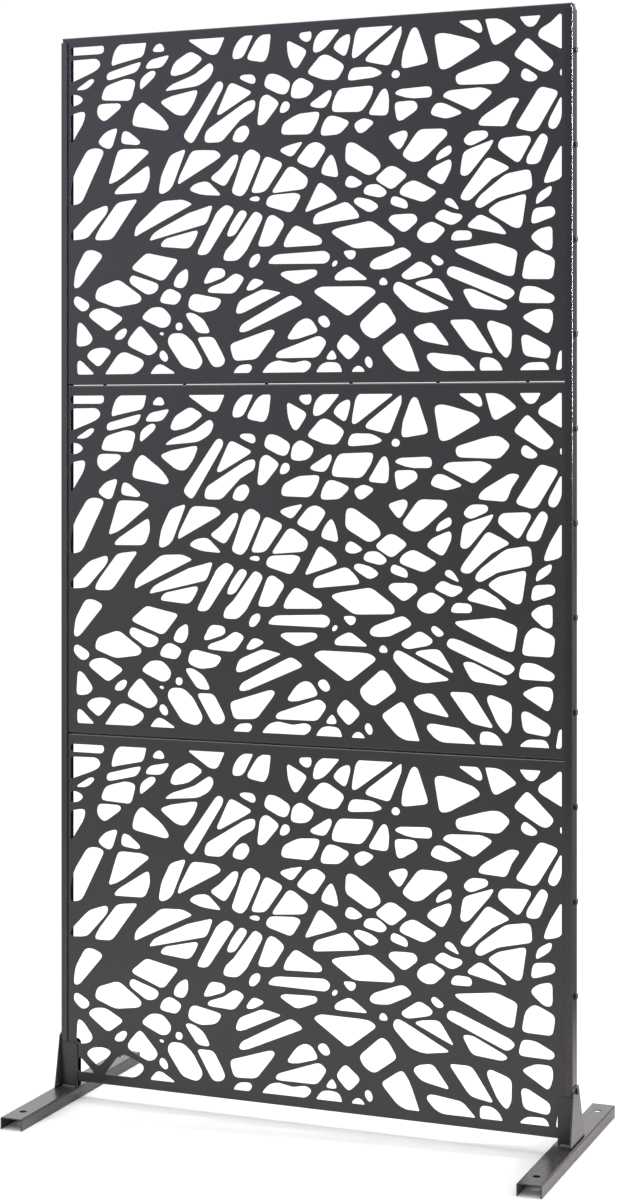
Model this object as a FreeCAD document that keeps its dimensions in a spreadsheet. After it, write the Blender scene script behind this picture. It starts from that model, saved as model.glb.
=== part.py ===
"""Free-standing privacy screen of folded sheet steel.

Three perforated trays stand one above the other between two U-channel posts. Each post stands on a
channel foot and is held there by a gusset plate and two cheek plates. M6 bolts join everything.

Frame: X to the right along the screen, -Y towards the viewer, +Z up. The origin is on the floor, midway
between the feet and midway along them.
"""
import FreeCAD
import Part
import Sketcher
import math
import os

SIZES = (
    ("panel_width", 906.0),
    ("panel_height", 598.5),
    ("panel_depth", 26.0),
    ("panel_sheet", 1.2),
    ("panel_bend", 2.5),
    ("panel_gap", 1.5),
    ("panel_ground", 30.0),
    ("side_border", 16.0),
    ("end_border", 17.5),
    ("post_sheet", 1.5),
    ("post_bend", 2.5),
    ("post_front_lip", 12.5),
    ("post_rear_lip", 9.0),
    ("post_clearance", 0.5),
    ("post_drop", 10.0),
    ("post_forward", 8.0),
    ("lip_gap", 1.0),
    ("foot_length", 440.0),
    ("foot_width", 40.0),
    ("foot_height", 20.0),
    ("foot_sheet", 2.0),
    ("foot_bend", 3.0),
    ("foot_overhang", 7.0),
    ("anchor_hole", 12.0),
    ("anchor_inset", 40.0),
    ("gusset_sheet", 2.5),
    ("gusset_base", 84.0),
    ("gusset_top", 30.0),
    ("gusset_rise", 92.0),
    ("gusset_corner", 8.0),
    ("cheek_sheet", 1.5),
    ("cheek_rise", 77.0),
    ("cheek_narrow", 24.0),
    ("cheek_wide", 32.0),
    ("cheek_corner", 8.0),
    ("bead_leg", 3.0),
    ("bead_inset", 3.0),
    ("bolt_size", 6.0),
    ("bolt_clearance", 0.6),
    ("bolt_end", 1.5),
    ("head_across", 11.0),
    ("head_rise", 4.0),
    ("nut_rise", 5.0),
    ("side_bolts", 4),
    ("joint_bolts", 6),
)

doc = FreeCAD.newDocument("screen")
sheet = doc.addObject("Spreadsheet::Sheet", "sizes")
for row, (alias, value) in enumerate(SIZES, start=1):
    sheet.set(f"A{row}", alias)
    sheet.set(f"B{row}", str(value))
    sheet.setAlias(f"B{row}", alias)
doc.recompute()

# Places that several pieces share, as expressions over the sheet.
POST_DEPTH = "(sizes.panel_depth + 2 * sizes.post_clearance + 2 * sizes.post_sheet)"
POST_FACE = "(sizes.panel_width / 2 + sizes.post_clearance + sizes.post_sheet)"
PANEL_PITCH = "(sizes.panel_height + sizes.panel_gap)"
BOLT_PITCH = f"({PANEL_PITCH} / sizes.side_bolts)"
JOINT_PITCH = "(sizes.panel_width / sizes.joint_bolts)"
CHEEK_TOP = "(sizes.foot_height + sizes.cheek_rise)"
HOLE_ACROSS = "(sizes.bolt_size + sizes.bolt_clearance)"

LEVELS = ("lower", "middle", "upper")
SIDES = (("left", -1), ("right", 1))
ENDS = (("front", -1), ("rear", 1))


def plane(body, role):
    """One of the body's own origin planes or axes."""
    for feature in body.Origin.OriginFeatures:
        if feature.Role == role:
            return feature
    raise ValueError(role)


def new_body(name):
    body = doc.addObject("PartDesign::Body", name)
    body.Label = name
    return body


def place(piece, x=None, y=None, z=None):
    """Bind the piece's position to the sheet."""
    for axis, expression in (("x", x), ("y", y), ("z", z)):
        if expression:
            piece.setExpression(f"Placement.Base.{axis}", expression)


def new_sketch(body, role, name):
    sketch = body.newObject("Sketcher::SketchObject", name)
    sketch.AttachmentSupport = [(plane(body, role), "")]
    sketch.MapMode = "FlatFace"
    return sketch


def outline(sketch, corners):
    """Closed outline of straight sides, each corner at a pair of expressions over the sheet."""
    places = [[float(sketch.evalExpression(part)) for part in corner] for corner in corners]
    points = [FreeCAD.Vector(x, y, 0) for x, y in places]
    first = sketch.GeometryCount
    count = len(points)
    for i in range(count):
        sketch.addGeometry(Part.LineSegment(points[i], points[(i + 1) % count]))
    for i in range(count):
        sketch.addConstraint(Sketcher.Constraint("Coincident", first + i, 2, first + (i + 1) % count, 1))
        for kind, k in (("DistanceX", 0), ("DistanceY", 1)):
            bound = sketch.addConstraint(Sketcher.Constraint(kind, -1, 1, first + i, 1, places[i][k]))
            sketch.setExpression(f"Constraints[{bound}]", corners[i][k])


def rectangle(sketch, x0, x1, y0, y1):
    outline(sketch, ((x0, y0), (x1, y0), (x1, y1), (x0, y1)))


def hexagon(sketch, x, y, across):
    """Hexagon by its width across corners; a bolt's shank and its holes are drawn six-sided too."""
    corners = []
    for k in range(6):
        turn = math.radians(30 + 60 * k)
        reach = f"{across} / 2"
        corners.append((f"{x} + {reach} * {math.cos(turn):.6f}", f"{y} + {reach} * {math.sin(turn):.6f}"))
    outline(sketch, corners)


def pad(body, sketch, length, name, reverse=False, both_ways=False):
    feature = body.newObject("PartDesign::Pad", name)
    feature.Profile = sketch
    feature.setExpression("Length", length)
    feature.Reversed = reverse
    feature.Midplane = both_ways
    doc.recompute()
    return feature


def pocket(body, sketch, name, length=None, reverse=False):
    """Cut the outline to a length, or right through both ways where none is given."""
    before = body.Shape.Volume
    feature = body.newObject("PartDesign::Pocket", name)
    feature.Profile = sketch
    if length:
        feature.setExpression("Length", length)
        feature.Reversed = reverse
    else:
        feature.Type = "ThroughAll"
        feature.Midplane = True
    doc.recompute()
    if body.Shape.Volume >= before:
        raise ValueError(f"{name} cuts nothing")
    return feature


def fillet(body, name, radius, chosen):
    """Round the edges of the body's present shape for which chosen(edge) is true."""
    base = body.Tip
    edges = [f"Edge{i}" for i, edge in enumerate(base.Shape.Edges, start=1) if chosen(edge)]
    feature = body.newObject("PartDesign::Fillet", name)
    feature.Base = (base, edges)
    feature.setExpression("Radius", radius)
    doc.recompute()
    return feature


def row_of(body, originals, axis, count, pitch, name):
    """Repeat features along one of the body's axes."""
    feature = body.newObject("PartDesign::LinearPattern", name)
    feature.Originals = originals
    feature.Direction = (plane(body, axis), [""])
    feature.setExpression("Occurrences", count)
    feature.setExpression("Length", f"{pitch} * ({count} - 1)")
    body.Tip = feature
    doc.recompute()
    return feature


def value_of(expression):
    return float(sheet.evalExpression(expression))


def lies_at(edge, axis, value):
    """True for an edge whose ends both have this coordinate."""
    return all(abs(getattr(v.Point, axis) - value) < 1e-4 for v in edge.Vertexes)


def runs_along(edge, axis):
    tangent = edge.tangentAt(edge.FirstParameter)
    return abs(abs(getattr(tangent, axis)) - 1) < 1e-6


# The pebble pattern, drawn in millimetres on one panel's face from its lower left corner. The holes fill a
# field whose edges are L, R, B and T, and the field is stretched to the face inside its borders.
L, R, B, T = 16.0, 890.0, 17.5, 581.0
PEBBLES = (
    ((L, T), (80.5, T), (80.5, 567), (L, 567)),
    ((L, 559), (68, 560), (76, 548), (66, 539), (L, 520)),
    ((24, 507), (48, 507.5), (65, 523.5), (56, 527)),
    ((L, 500), (30, 499.5), (43, 491), (32, 481.5), (L, 479.5)),
    ((L, 466.5), (45.5, 471), (42, 452), (L, 412.5)),
    ((93, 543), (97, 563), (105.5, T), (161, T), (155, 556.5), (118, 552.5)),
    ((169.5, 564.5), (180, 578.5), (190, 579), (197, 563.5)),
    ((84.5, 519.5), (84.5, 533.5), (153, 550.5), (143, 532)),
    ((73, 487.5), (82, 511), (121, 522.5), (141.5, 518.5), (132, 483.5)),
    ((156.5, 536), (166, 551), (206, 558.5), (191, 537)),
    ((148, 499), (149, 520), (168, 533.5), (180, 532.5), (178, 523)),
    ((203.5, 523), (213, 545), (243, 562), (268, 547.5), (240, 526.5), (214, 520.5)),
    ((193, 496), (209, 508), (252, 521.5), (280, 542), (288, 531), (279, 514), (258, 502)),
    ((184.5, 479), (210, 488.5), (258.5, 496.5), (250, 474), (234, 452.5), (216, 455)),
    ((66, 462), (68, 481), (112, 481), (115, 474), (80, 449)),
    ((132.5, 441), (139, 468), (152, 482.5), (191, 453), (206, 433), (200, 428.5)),
    ((66.5, 415.5), (83, 433), (107.5, 440), (95, 402.5), (83, 404)),
    ((111.5, 411.5), (115.5, 434.5), (128, 431), (152.5, 411), (146, 407)),
    ((237, T), (306.5, T), (293, 552), (279, 552.5)),
    ((319.5, 542), (322, 560), (336, T), (358.5, T), (340, 544)),
    ((345, 541), (352, 554.5), (369, T), (390.5, T), (387, 550), (380, 534)),
    ((330.5, 511), (335, 516), (360, 516), (365, 504), (360, 497.5)),
    ((376.5, 494.5), (384, 516), (402, 513.5), (427, 499), (420, 479), (408, 479)),
    ((289.5, 450), (316, 506), (358.5, 486), (298, 450.5)),
    ((228, 418), (293, 509.5), (305, 506), (304, 496), (246, 403)),
    ((268, 405.5), (271, 425.5), (345, 471), (363.5, 474.5), (361.5, 455.5), (332, 440), (301, 405)),
    ((318.5, 406), (327, 426), (345, 433.5), (354, 421), (341, 402)),
    ((365, 429), (371, 476), (382, 483), (407.5, 466), (378, 430)),
    ((404.5, 447.5), (411, 468), (422, 468.5), (427, 460), (420, 449.5)),
    ((418.5, 570), (457, 549.5), (437, 519), (430, 521.5), (421, 543)),
    ((438.5, 574), (443, 580), (463.5, T), (463.5, 565.5), (453, 562)),
    ((425, 472.5), (429, 497), (443, 507), (469.5, 492.5), (461, 475.5), (447, 470.5)),
    ((407.5, 412.5), (412, 432), (440, 446), (479.5, 448), (474, 430), (461.5, 410.5)),
    ((464.5, 544.5), (468, 566), (478.5, T), (513.5, T), (488, 551.5), (475, 544.5)),
    ((499.5, 550.5), (513, 567), (532, 574.5), (532, 560.5), (523.5, 533.5)),
    ((533.5, 530), (537, 556), (542.5, T), (608.5, T), (541, 531)),
    ((555, 526), (564, 537), (621, 580.5), (622, 566), (609, 540), (601, 515)),
    ((620, 509), (623, 537), (639, 577), (648, 577), (668.5, 516.5)),
    ((453.5, 512), (480, 541.5), (492, 541), (523.5, 521), (509, 497.5), (484, 499.5)),
    ((525.5, 495), (532, 516.5), (569.5, 516.5), (591, 504.5), (573, 498)),
    ((601.5, 497), (606, 509), (617, 508), (620.5, 500), (614, 493)),
    ((457.5, 460), (498, 485), (501, 476), (488, 452), (465, 455)),
    ((498, 445.5), (501, 463), (511.5, 483.5), (574, 485.5), (569, 467), (552, 443)),
    ((561.5, 437.5), (588, 480.5), (596, 480.5), (600, 461), (598, 434.5)),
    ((606, 470), (617, 477), (673, 479), (674, 460.5), (635, 460.5)),
    ((608, 456.5), (646, 457), (651, 443.5), (620, 424), (613, 424)),
    ((478, 407), (482, 425), (492, 440.5), (506, 439), (533, 428), (513, 408)),
    ((536.5, 424), (554.5, 434), (576, 425.5), (552, 406.5), (545, 408)),
    ((595.5, 401), (628, 411), (634, 404.5), (628, 391), (617, 375.5)),
    ((676.5, 562), (692, 564), (744, 550), (758, 537), (701, 505), (686, 503.5)),
    ((716.5, T), (755, T), (760.5, 559), (752, 558)),
    ((763, T), (790, T), (818.5, 557.5), (794, 546.5), (783, 536.5), (775.5, 538.5)),
    ((820, T), (856, T), (846, 563), (833, 563)),
    ((849, 547.5), (854, 560.5), (874, 569), (884.5, T), (R, T), (R, 525)),
    ((809, 520), (833, 549), (879.5, 503.5), (867, 489.5), (857, 491)),
    ((820.5, 486), (828, 501), (853.5, 483), (845, 475.5), (829, 478)),
    ((R, 496.5), (R, 479.5), (885.5, 489)),
    ((712, 495), (770, 512), (788, 513), (807, 498), (788, 476), (715, 478)),
    ((688.5, 460.5), (699, 470), (757, 472.5), (778, 464), (743, 434), (719, 450)),
    ((668.5, 433), (679, 451.5), (694, 450.5), (727.5, 432.5), (698, 424)),
    ((749, 411), (757, 424.5), (805, 453.5), (823.5, 451), (806, 429), (799.5, 407)),
    ((812, 405), (854, 469), (886.5, 459), (849, 397), (838, 397)),
    ((866, 402), (869, 415), (R, 453.5), (R, 414), (879, 397)),
    ((620, 369), (651, 410), (696, 409), (702.5, 400), (656, 359), (640, 356)),
    ((L, 353), (48, 404), (66, 406.5), (82, 401), (37, 312), (L, 308.5)),
    ((87.5, 341), (107, 402), (151, 401.5), (169, 395.5), (112, 350.5)),
    ((96.5, 325), (108, 338), (166, 374), (168, 350), (158, 326)),
    ((183, 322), (188, 352), (205, 388), (236, 398), (209, 332), (195, 322.5)),
    ((218, 335), (222, 350), (245.5, 394), (291, 392.5), (302.5, 382)),
    ((L, 261), (52, 297), (88, 308.5), (88.5, 296), (48, 251), (L, 248.5)),
    ((60.5, 247.5), (68, 263), (105, 311), (146, 316), (95, 247.5)),
    ((137, 249), (140, 268.5), (188, 310), (228, 312), (249.5, 303), (193, 282)),
    ((164, 242), (174, 257), (235, 287), (286, 301.5), (273, 268), (205, 255)),
    ((184.5, 233), (194, 246), (259.5, 260), (253, 244), (242, 228)),
    ((21, 165.5), (25, 197), (44.5, 231.5), (62, 231), (80, 221.5), (31, 165)),
    ((130, 197.5), (161, 224), (192, 215), (222.5, 211), (193, 174), (178, 178)),
    ((277.5, 345.5), (303, 363), (321, 383.5), (333.5, 384), (327, 362), (307, 329)),
    ((238.5, 327.5), (252, 338), (275, 341.5), (302, 315), (262, 318.5)),
    ((317.5, 319), (341, 383.5), (354, 393), (374, 380.5), (349, 325), (338, 311)),
    ((353, 317.5), (380, 379.5), (414, 365), (381, 319), (369, 317.5)),
    ((390, 315.5), (422, 360.5), (432, 358.5), (459, 338), (453, 321)),
    ((348, 306.5), (356, 312), (372, 312), (371, 302)),
    ((379.5, 296), (386, 312.5), (432, 315.5), (446.5, 311.5), (428, 281.5)),
    ((434.5, 367), (457, 394.5), (472, 399), (491, 387.5), (467, 353)),
    ((403.5, 386.5), (416, 393), (450, 400.5), (428, 373)),
    ((253.5, 217), (270, 248), (291, 288), (309, 301.5), (326, 292), (275, 216.5)),
    ((308.5, 245.5), (318, 268), (336, 292), (350, 285.5), (325, 247)),
    ((302, 206), (307, 223), (328, 241.5), (361, 289), (378, 279), (347, 222), (330, 205)),
    ((365.5, 227.5), (385, 279), (394, 281.5), (417, 265.5), (393, 228)),
    ((349, 193), (354, 211.5), (371, 218.5), (373, 207), (361, 192.5)),
    ((411, 225), (418, 243), (434, 263), (483, 238), (483, 227.5)),
    ((382.5, 198.5), (396, 213.5), (489, 218), (499, 209), (491, 196)),
    ((478.5, 344), (485, 362), (499, 379), (507, 362), (512, 336.5)),
    ((522.5, 361.5), (524.5, 394.5), (538, 394.5), (579, 367), (587.5, 350), (565, 337)),
    ((520.5, 323), (527, 340), (535, 340), (556.5, 326), (537, 318)),
    ((573.5, 332), (598, 353), (609, 352.5), (633, 336.5), (604, 312.5)),
    ((552.5, 309), (559, 323), (580, 324.5), (599, 309.5), (587, 300.5)),
    ((535, 296), (541.5, 304.5), (567.5, 299), (584.5, 287), (566, 276.5)),
    ((600, 290), (604.5, 305), (631.5, 295), (633, 280)),
    ((615, 306), (622, 319.5), (641, 329), (684, 307.5), (660, 290.5)),
    ((449.5, 280.5), (477, 333), (501, 317), (511.5, 302)),
    ((464, 260.5), (469, 279), (503, 290), (525, 298.5), (541, 284), (551, 269.5)),
    ((595.5, 264.5), (603, 273), (645, 273.5), (651, 262), (625, 241.5)),
    ((495.5, 248.5), (508, 254), (568, 265), (608, 236.5), (611, 222), (538, 219.5)),
    ((497, 190.5), (503, 202.5), (512, 201), (506.5, 190)),
    ((517, 216.5), (543.5, 217), (541, 204), (531, 199.5)),
    ((563, 189.5), (571, 201.5), (625, 221), (641.5, 206), (600, 185), (572, 184)),
    ((662, 334), (673, 347), (706.5, 361), (707, 345), (692, 316.5)),
    ((645.5, 236), (651, 249.5), (672, 261), (698.5, 246.5), (677, 225), (660, 225)),
    ((675, 266), (691, 280.5), (709, 270.5), (724, 271), (728, 264), (708, 251)),
    ((692, 288.5), (698, 298.5), (708, 296), (722, 275)),
    ((678, 355.5), (683, 371), (705.5, 384), (708.5, 369)),
    ((724, 387.5), (738, 402.5), (768, 402.5), (770, 392), (737, 377.5)),
    ((720, 331.5), (726, 370.5), (780, 389), (770, 372), (733, 329.5)),
    ((719, 294), (727, 308.5), (767, 361), (807, 341), (768, 321.5), (737, 289.5)),
    ((743.5, 283), (754.5, 299), (798, 332), (839, 338), (842.5, 306.5), (782, 294), (754, 276)),
    ((765.5, 273.5), (785, 287.5), (833, 299.5), (824, 243), (811, 244.5)),
    ((730, 250), (754, 270), (786, 252.5), (802, 233.5), (742, 245)),
    ((703, 227.5), (711, 244), (741, 242.5), (742, 227.5)),
    ((782.5, 373.5), (788.5, 389), (837.5, 391.5), (842, 386), (819, 346)),
    ((830.5, 345), (832, 357), (857, 396), (869.5, 387), (853, 345)),
    ((858.5, 312.5), (868, 339), (880, 360), (R, 375.5), (R, 319)),
    ((846, 278.5), (850, 298), (875, 312), (873, 296)),
    ((838.5, 249), (843, 275), (878, 277.5), (881, 262), (847, 250.5)),
    ((836.5, 229), (851, 241.5), (875, 246.5), (875, 207), (861, 207)),
    ((708.5, 213), (781, 222), (819, 208), (813, 187), (812.5, 167), (800, 168), (722, 203)),
    ((669, 199.5), (676, 208), (697, 192.5), (684, 185.5)),
    ((823.5, 163), (830, 197), (845, 210), (880, 194), (875.5, 161)),
    ((61.5, 146), (67, 166), (108, 180), (154, 148), (150, 138.5), (103, 131.5)),
    ((126.5, 174), (131.5, 187.5), (186, 169.5), (181, 156), (163, 151)),
    ((20.5, 139.5), (23, 153.5), (30, 153), (54, 139), (51.5, 130), (38.5, 124)),
    ((48, 118.5), (59, 129), (82, 132), (119, 113), (88, 89.5)),
    ((26.5, 65), (29.5, 109.5), (40, 105), (61, 78), (50, 67)),
    ((98.5, 76), (103, 87.5), (119, 97.5), (127, 94), (117, 76.5)),
    ((123, 67), (128, 79), (149, 102), (184.5, 63), (178, 53), (165, 47.5)),
    ((149.5, 112.5), (168, 130), (191, 131), (209, 113), (204, 98), (190, 94)),
    ((181.5, 86.5), (194.5, 89.5), (194.5, 80)),
    ((215.2, 104), (229, 104), (229, 90.2), (215.2, 90.2)),
    ((184, 138.5), (192, 156), (205, 163), (229, 150.5), (218, 133)),
    ((209.5, 165), (218, 185), (238.5, 197), (239.5, 175), (231, 160.5)),
    ((44.5, 49), (57, 61), (80, 64), (96.5, 57.5), (70, 28.5)),
    ((28.5, B), (28.5, 43), (35, 43), (62.5, B)),
    ((81.5, B), (108, 53), (120, 56), (156.5, 41), (157.5, 33), (142, B)),
    ((183, 47), (188, 59), (196, 56.5), (204, 43), (197, 35)),
    ((167.5, B), (179, 33), (188, 35), (217.5, B)),
    ((199, 71), (205, 85.5), (230, 86), (248, 71), (268, 37), (257, 23), (228, 29.5)),
    ((265.5, 167.5), (280, 195), (307, 193), (309, 179.5), (275, 168)),
    ((272, 153.5), (277, 162), (307, 171), (325, 186), (344.5, 177), (324, 150)),
    ((343, 155), (358, 176.5), (381.5, 169), (357, 154.5)),
    ((325, 116), (332, 138), (376, 157.5), (412, 150), (377, 138), (340, 117)),
    ((330.5, 85), (336, 98.5), (427.5, 147), (450.5, 131.5), (345, 85.5)),
    ((237.5, 128), (243, 150.5), (253, 152), (303, 141.5), (292, 124), (262, 119)),
    ((231.5, 119.5), (247, 120.5), (268, 108.5), (281.5, 84.5), (256, 85.5)),
    ((254, 78.5), (286.5, 79), (309.5, 37), (301, 28), (285, 27)),
    ((315, 66), (394, 91), (400.5, 86), (365, 40), (323, 37.5)),
    ((322, B), (331, 30.5), (356, 33), (358, 25), (352.5, B)),
    ((374, B), (387, 33.5), (405, 38.5), (432, 32), (452, 38.5), (466, 32), (456, B)),
    ((397, 41.5), (400.5, 51.5), (478, 79), (492, 67.5), (474, 41.5)),
    ((417.5, 73), (437, 100), (452, 108), (464, 105), (477, 84), (434, 71.5)),
    ((404, 181), (415, 186), (475, 187.5), (475, 177.5), (437, 162.5)),
    ((502, 168), (505, 178.5), (531, 192), (565, 167.5)),
    ((464.5, 151), (480, 159), (565, 157), (580, 148), (528, 107.5)),
    ((580, 158.5), (586, 173), (593, 171.5), (600, 158.5)),
    ((617.5, 173.5), (652, 197.5), (677.5, 182), (672, 174), (630, 165)),
    ((641, 160), (655, 165.5), (686, 168.5), (712.5, 128)),
    ((604.5, 150), (610, 165), (620, 163), (706, 118.5), (660, 111.5), (636, 118)),
    ((546.5, 96), (587, 132.5), (597, 127), (614.5, 99.5), (573, 69.5), (555, 80)),
    ((472, 103), (478, 110.5), (489, 112), (499, 95), (487, 88.5)),
    ((486.5, 38), (500.5, 57), (510.5, 38)),
    ((471, B), (480, 31.5), (490, 34.5), (513, 33), (518, B)),
    ((505.5, 60), (523, 82), (551.5, 58), (529, 35)),
    ((533.5, B), (541, 28), (550.5, 28.5), (558.5, B)),
    ((555.5, 33), (559, 44), (567, 43), (573, 30), (567, 20)),
    ((584.5, 56.5), (623, 82.5), (636, 62), (652.5, B), (619, B)),
    ((639, 83), (648, 92), (675, 97), (705, 57), (655, 67)),
    ((661.5, 41), (668, 48), (725, 41.5), (748.5, B), (682, B)),
    ((696, 173), (702, 187.5), (718, 184.5), (803, 151), (816, 141.5), (801, 128.5)),
    ((723.5, 149), (742, 149.5), (804, 120), (795, 113), (741, 118)),
    ((818, 125), (824, 151.5), (847, 151), (881, 134), (876, 123)),
    ((822.5, 102), (847, 114.5), (875, 114), (876.5, 95), (869, 73)),
    ((822, 73), (831, 75.5), (873, 53), (870, 34.5), (827, 40.5)),
    ((819.5, B), (832, 29.5), (865, 30.5), (870, B)),
    ((880, B), (885, 48), (R, 48.5), (R, B)),
    ((701, 100), (741, 100), (779, 43.5), (738, 51)),
    ((764.5, 91), (769, 99.5), (808, 86), (807.5, 50), (800, 34), (784, 50.5)),
    ((754, B), (754.5, 38.5), (774, 39), (787, 31), (793, B)),
)


def pebble_cutters():
    """Prisms that cut the pattern through a panel's face, centred on the panel like its tray."""
    field_width = value_of("sizes.panel_width - 2 * sizes.side_border")
    field_height = value_of("sizes.panel_height - 2 * sizes.end_border")
    through = value_of("2 * sizes.panel_sheet")
    start = value_of("-sizes.panel_depth - sizes.panel_sheet / 2")
    prisms = []
    for corners in PEBBLES:
        ring = []
        for u, v in corners:
            x = ((u - L) / (R - L) - 0.5) * field_width
            z = ((v - B) / (T - B) - 0.5) * field_height
            ring.append(FreeCAD.Vector(x, start, z))
        face = Part.Face(Part.makePolygon(ring + ring[:1]))
        prisms.append(face.extrude(FreeCAD.Vector(0, through, 0)))
    cutters = doc.addObject("Part::Feature", "pebble_cutters")
    cutters.Shape = Part.makeCompound(prisms)
    return cutters


def folded_tray():
    """Sheet folded back on all four sides, with bolt holes in every flange, centred on its face."""
    body = new_body("folded_tray")
    width, height = "sizes.panel_width / 2", "sizes.panel_height / 2"
    face = new_sketch(body, "XZ_Plane", "tray_outline")
    rectangle(face, f"-{width}", width, f"-{height}", height)
    pad(body, face, "sizes.panel_depth", "tray_block")
    front = value_of("-sizes.panel_depth")
    fillet(body, "tray_bends", "sizes.panel_bend", lambda edge: lies_at(edge, "y", front))

    hollow = new_sketch(body, "XZ_Plane", "tray_hollow_outline")
    inner_width, inner_height = f"({width} - sizes.panel_sheet)", f"({height} - sizes.panel_sheet)"
    rectangle(hollow, f"-{inner_width}", inner_width, f"-{inner_height}", inner_height)
    pocket(body, hollow, "tray_hollow", "sizes.panel_depth - sizes.panel_sheet", reverse=True)
    inside = value_of("sizes.panel_sheet - sizes.panel_depth")
    fillet(body, "tray_inner_bends", "sizes.panel_bend - sizes.panel_sheet",
           lambda edge: lies_at(edge, "y", inside))

    middle = "-sizes.panel_depth / 2"
    side = new_sketch(body, "YZ_Plane", "side_hole_outline")
    hexagon(side, middle, f"{BOLT_PITCH} / 2 - sizes.panel_height / 2", HOLE_ACROSS)
    side_hole = pocket(body, side, "side_hole")
    row_of(body, [side_hole], "Z_Axis", "sizes.side_bolts", BOLT_PITCH, "side_holes")
    end = new_sketch(body, "XY_Plane", "end_hole_outline")
    hexagon(end, f"{JOINT_PITCH} / 2 - sizes.panel_width / 2", middle, HOLE_ACROSS)
    end_hole = pocket(body, end, "end_hole")
    row_of(body, [end_hole], "X_Axis", "sizes.joint_bolts", JOINT_PITCH, "end_holes")
    return body


def panel_bottom(level):
    return f"(sizes.panel_ground + {level} * {PANEL_PITCH})"


def panel(level, tray, cutters):
    """A tray with the pebble pattern cut through its face."""
    piece = doc.addObject("Part::Cut", f"{LEVELS[level]}_panel")
    piece.Base = tray
    piece.Tool = cutters
    rear = "sizes.panel_depth / 2 - sizes.post_forward"
    place(piece, y=rear, z=f"{panel_bottom(level)} + sizes.panel_height / 2")
    return piece


def post(side, sign):
    """U-channel over the panels' edges; its lips stop above the cheek plates and its web goes on down."""
    body = new_body(f"{side}_post")
    outer, inner = f"{sign} * {POST_FACE}", f"{sign} * ({POST_FACE} - sizes.post_sheet)"
    front_lip = f"{sign} * ({POST_FACE} - sizes.post_front_lip)"
    rear_lip = f"{sign} * ({POST_FACE} - sizes.post_rear_lip)"
    deep, shallow = f"{POST_DEPTH} / 2", f"({POST_DEPTH} / 2 - sizes.post_sheet)"
    profile = new_sketch(body, "XY_Plane", f"{side}_post_profile")
    outline(profile, (
        (front_lip, f"-{deep}"), (outer, f"-{deep}"), (outer, deep), (rear_lip, deep),
        (rear_lip, shallow), (inner, shallow), (inner, f"-{shallow}"), (front_lip, f"-{shallow}"),
    ))
    length = f"{panel_bottom(2)} + sizes.panel_height + sizes.panel_gap - sizes.post_drop - sizes.foot_height"
    pad(body, profile, length, f"{side}_post_channel")
    web_out, web_in = value_of(outer), value_of(inner)
    fillet(body, f"{side}_post_inner_bends", "sizes.post_bend - sizes.post_sheet",
           lambda edge: runs_along(edge, "z") and lies_at(edge, "x", web_in))
    fillet(body, f"{side}_post_bends", "sizes.post_bend",
           lambda edge: runs_along(edge, "z") and lies_at(edge, "x", web_out))

    notch = new_sketch(body, "XY_Plane", f"{side}_post_notch_outline")
    past, cut = f"{sign} * ({POST_FACE} + sizes.post_sheet)", f"({POST_DEPTH} / 2 - sizes.post_bend)"
    for lip, way in ((front_lip, "-"), (rear_lip, "")):
        edge = f"({lip} - {sign} * sizes.post_sheet)"
        rectangle(notch, edge, past, f"{way}{cut}", f"{way}({deep} + sizes.post_sheet)")
    pocket(body, notch, f"{side}_post_notch", "sizes.cheek_rise + sizes.lip_gap", reverse=True)

    hole = new_sketch(body, "YZ_Plane", f"{side}_post_hole_outline")
    first = f"{panel_bottom(0)} + {BOLT_PITCH} / 2 - sizes.foot_height"
    hexagon(hole, "0", first, HOLE_ACROSS)
    first_hole = pocket(body, hole, f"{side}_post_hole")
    row_of(body, [first_hole], "Z_Axis", f"{len(LEVELS)} * sizes.side_bolts", BOLT_PITCH, f"{side}_post_holes")
    place(body, y="-sizes.post_forward", z="sizes.foot_height")
    return body


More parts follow.
